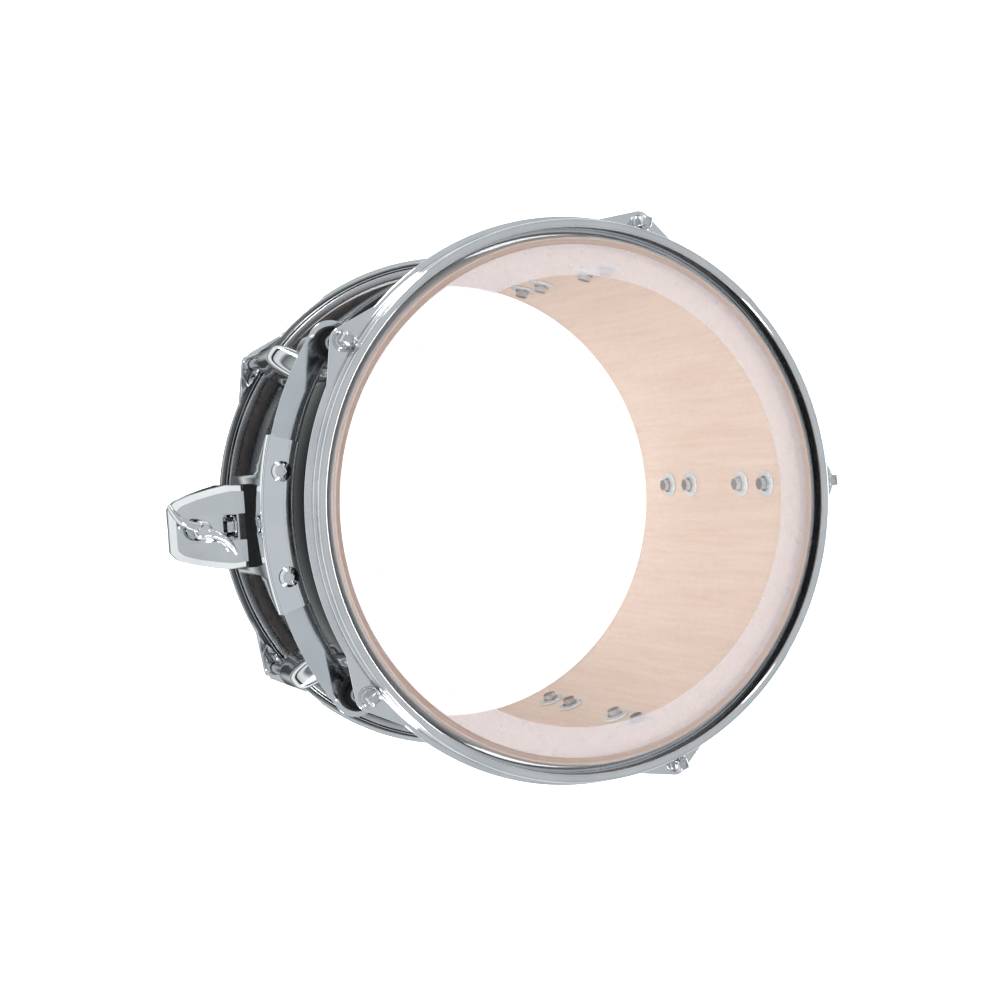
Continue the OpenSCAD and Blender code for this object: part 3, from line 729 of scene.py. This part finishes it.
# ---------------------------------------------------------------- clamp
def casting_rings():
    """Outlines of the casting from its foot to its top: a sloping back, and a bevel round the top."""
    reach = CLAMP_REACH - CLAMP_FACE
    side = [
        (19.3, 0, 0.3), (CASTING_HALF, 7, 10), (18.4, 15, 14), (16.4, 23.5, 14), (13.6, reach - 3, 6),
        (10.4, reach, 3),
    ]
    plan = fillet([(x, -y, r) for x, y, r in side] + [(-x, -y, r) for x, y, r in reversed(side)], 6)
    rings = []
    for below_top, inset, short in (
        (40, 0.8, 14.6), (39.2, 0, 14), (32, 0, 7), (27, 0, 4.5), (20, 0, 2), (8, 0, 0), (5.2, 0, 0),
        (4.6, 0.1, 0.1), (4.0, 0.5, 0.4), (0.5, 2.7, 1.7), (0.1, 3.0, 2.0), (0, 3.3, 2.3),
    ):
        wide, deep = (CASTING_HALF - inset) / CASTING_HALF, (reach - short) / reach
        rings.append([(x * wide, y * deep - CLAMP_FACE, CLAMP_TOP - below_top) for x, y in plan])
    return rings


def box_mesh(low, high):
    corners = [(low[0], low[1]), (high[0], low[1]), (high[0], high[1]), (low[0], high[1])]
    return stack("box", [[(x, y, z) for x, y in corners] for z in (low[2], high[2])])


def bore_mesh(radius, length, place, axis):
    mesh = turned("bore", [(0, 0), (radius, 0), (radius, length), (0, length)], 64)
    turn = Vector((0, 0, 1)).rotation_difference(Vector(axis)).to_matrix().to_4x4()
    mesh.transform(Matrix.Translation(Vector(place) * MM) @ turn)
    return mesh


def make_clamp():
    """Casting with the open slot, the pocket of the nut, the thread, the guide and the arm's socket."""
    casting = add_object("clamp_body", stack("clamp_body", casting_rings()), 30)
    floor = CLAMP_TOP - 6.5
    above = CLAMP_TOP + 5
    cut(casting, box_mesh((-SLOT_HALF, -CLAMP_REACH + 2.2, floor), (SLOT_HALF, -CLAMP_FACE + 3, above)))
    cut(casting, box_mesh((-SLOT_HALF, -164.5, CLAMP_TOP - 17), (SLOT_HALF, -CLAMP_FACE - 2.5, above)))
    cut(casting, bore_mesh(4.05, 20, (0, WING_Y, floor - 8), (0, 0, 1)))
    cut(casting, bore_mesh(SOCKET_R, 32, (0, -CLAMP_REACH - 5, ARM_Z), (0, 1, 0)))
    cut(casting, bore_mesh(5.55, floor - 5.5 - ARM_Z, (0, WING_Y, ARM_Z), (0, 0, 1)))
    cut(casting, bore_mesh(2.7, 9, (0, -CLAMP_FACE - 6, CLAMP_TOP - 10.5), (0, 1, 0)))
    for face in casting.data.polygons:
        face.use_smooth = True
    casting.data.set_sharp_from_angle(angle=math.radians(30))
    edges = casting.modifiers.new("edges", "BEVEL")
    edges.width = 0.3 * MM
    edges.segments = 3
    edges.limit_method = "ANGLE"
    edges.angle_limit = math.radians(38)
    edges.harden_normals = True
    settle(casting, "drum", "casting_chrome", CAST_CHROME, "clamp_casting")


# ---------------------------------------------------------------- wing screw
def blade(turn):
    """One curved blade, swept from the hub to its tip with a thin rounded section."""
    rings = []
    steps = 26
    middle_z = CLAMP_TOP + 7.6
    cos_turn, sin_turn = math.cos(turn), math.sin(turn)
    for k in range(steps + 1):
        share = k / steps
        x = 2.0 + 17.5 * share
        sideways = 2.6 * math.sin(share * math.pi * 0.95)
        thick = 2.5 - 1.5 * share
        tall = 4.0 * (0.78 + 0.22 * math.sin(share * math.pi)) * (1 - 0.35 * max(0.0, share - 0.85) / 0.15)
        ring = []
        for m in range(20):
            angle = math.tau * m / 20
            y = sideways + thick * math.copysign(abs(math.cos(angle)) ** 0.8, math.cos(angle))
            z = middle_z + tall * math.copysign(abs(math.sin(angle)) ** 0.8, math.sin(angle))
            ring.append((x * cos_turn - y * sin_turn, x * sin_turn + y * cos_turn + WING_Y, z))
        rings.append(ring)
    return stack("blade", rings)


def make_wing_screw():
    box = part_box("wing_screw")
    base = CLAMP_TOP - 3.1
    hub = turned("hub", [
        (0, base), (5.2, base), (5.2, base + 1.5), (4.6, base + 9), (4.2, base + 11.6), (3.2, base + 12.8),
        (0, base + 13.2),
    ])
    hub.transform(Matrix.Translation((0, WING_Y * MM, 0)))
    wings = fused("wing_casting", [hub, blade(WING_TURN), blade(WING_TURN + math.pi)], 0.38, 4)
    shank = thread(4.0, box[0].z / MM, base + 1, 1.25, 0.45)
    shank.transform(Matrix.Translation((0, WING_Y * MM, 0)))
    tool = bmesh.new()
    tool.from_mesh(wings.data)
    tool.from_mesh(shank)
    tool.to_mesh(wings.data)
    tool.free()
    settle(wings, "wing", "casting_chrome", CAST_CHROME, "wing_screw")


# ---------------------------------------------------------------- CAD nodes that keep their shape
def dress(node, material, bevel_mm=0.0):
    """Gives a CAD node its material, and rounds its edges where light would catch them."""
    piece = frame["nodes"][node]
    piece.data.materials.clear()
    piece.data.materials.append(material)
    if bevel_mm:
        weld = piece.modifiers.new("weld", "WELD")
        weld.merge_threshold = 0.002 * MM
        flat = piece.modifiers.new("flats", "DECIMATE")
        flat.decimate_type = "DISSOLVE"
        flat.angle_limit = math.radians(0.3)
        bevel = piece.modifiers.new("edges", "BEVEL")
        bevel.width = bevel_mm * MM
        bevel.segments = 3
        bevel.limit_method = "ANGLE"
        bevel.angle_limit = math.radians(35)
        bevel.harden_normals = True
        bevel.use_clamp_overlap = True


def dress_nodes():
    dress("lug_gaskets", RUBBER)
    dress("lug_inserts", STEEL)
    dress("lug_screws", STEEL, 0.25)
    dress("lug_spring_washers", STEEL)
    dress("lug_plate_washers", ZINC, 0.2)
    dress("batter_rod_washers", PLATED, 0.2)
    dress("resonant_rod_washers", PLATED, 0.2)
    dress("mount_crescent", CRESCENT_CHROME, 0.35)
    dress("mount_grommets", RUBBER)
    dress("grommet_sleeves", STEEL)
    dress("mount_bracket", BRACKET_CHROME_PAINTED_SHEEN, 0.55)
    dress("bracket_rivets", CHROME)
    dress("clamp_gasket", RUBBER, 0.4)
    dress("clamp_bolt", BLACKENED, 0.2)
    dress("clamp_nut", PLATED, 0.25)
    dress("clamp_shoe", STEEL, 0.2)


# ---------------------------------------------------------------- stage
def area_light(name, place, aim, size, power, mirrored=True):
    lamp = bpy.data.lights.new(name, "AREA")
    lamp.shape = "RECTANGLE"
    lamp.size, lamp.size_y = size
    lamp.energy = power
    light = bpy.data.objects.new(name, lamp)
    bpy.context.scene.collection.objects.link(light)
    light.visible_glossy = mirrored
    light.location = place
    light.rotation_mode = "QUATERNION"
    light.rotation_quaternion = (Vector(aim) - Vector(place)).to_track_quat("-Z", "Y")


def make_stage():
    half = 12000
    corners = [(-half, -half, 0), (half, -half, 0), (half, half, 0), (-half, half, 0)]
    floor_mesh = mesh_from("floor", corners, [(0, 1, 2, 3)])
    floor = add_object("floor", floor_mesh, 0)
    floor.location.z = -0.0002
    floor.data.materials.append(floor_paint())
    world = bpy.data.worlds.new("studio")
    bpy.context.scene.world = world
    world.use_nodes = True
    tree = world.node_tree
    place = tree.nodes.new("ShaderNodeTexCoord")
    split = tree.nodes.new("ShaderNodeSeparateXYZ")
    ramp = tree.nodes.new("ShaderNodeValToRGB")
    tree.links.new(place.outputs["Generated"], split.inputs[0])
    tree.links.new(split.outputs["Z"], ramp.inputs["Fac"])
    tree.links.new(ramp.outputs["Color"], tree.nodes["Background"].inputs["Color"])
    bands = (
        (0.0, 0.6), (0.04, 0.03), (0.2, 0.02), (0.26, 0.7), (0.5, 0.9), (0.6, 0.1), (0.72, 0.5), (1.0, 0.56),
    )
    elements = ramp.color_ramp.elements
    while len(elements) < len(bands):
        elements.new(0.5)
    for element, (position, level) in zip(elements, bands):
        element.position = position
        element.color = (level * 0.96, level * 1.01, level * 1.05, 1)
    tree.nodes["Background"].inputs["Strength"].default_value = 1.0
    area_light("top_box", (0.1, -0.8, 1.35), (0, 0, 0.1), (0.7, 0.7), 14, False)
    area_light("left_strip", (-1.1, -0.4, 0.5), (0, 0, 0.1), (0.2, 1.3), 6)
    area_light("right_strip", (1.1, -0.6, 0.5), (0, 0, 0.1), (0.2, 1.3), 6)
    area_light("back_strip", (0, 1.3, 0.5), (0, 0, 0.1), (1.3, 0.2), 5)


def make_camera():
    """At the photograph's angle: high over the mount, with the drum's -X side up in the picture."""
    look = Vector((0.0293, 0.3866, -0.9218)).normalized()
    up = Vector((-0.9971, 0.0757, 0.0))
    right = look.cross(up).normalized()
    up = right.cross(look)
    lens = bpy.data.cameras.new("camera")
    lens.sensor_width = 36
    lens.lens = 64.1
    camera = bpy.data.objects.new("camera", lens)
    bpy.context.scene.collection.objects.link(camera)
    place = Vector((-0.0282, -0.3665, 0.9482))
    turn = Matrix((right, up, -look)).transposed()
    camera.matrix_world = Matrix.Translation(place) @ turn.to_4x4()
    bpy.context.scene.camera = camera


make_shell()
make_heads()
make_hoops()
make_lugs()
make_rods()
make_clamp()
make_wing_screw()
dress_nodes()
make_stage()
make_camera()
bpy.context.scene.view_settings.view_transform = "Standard"
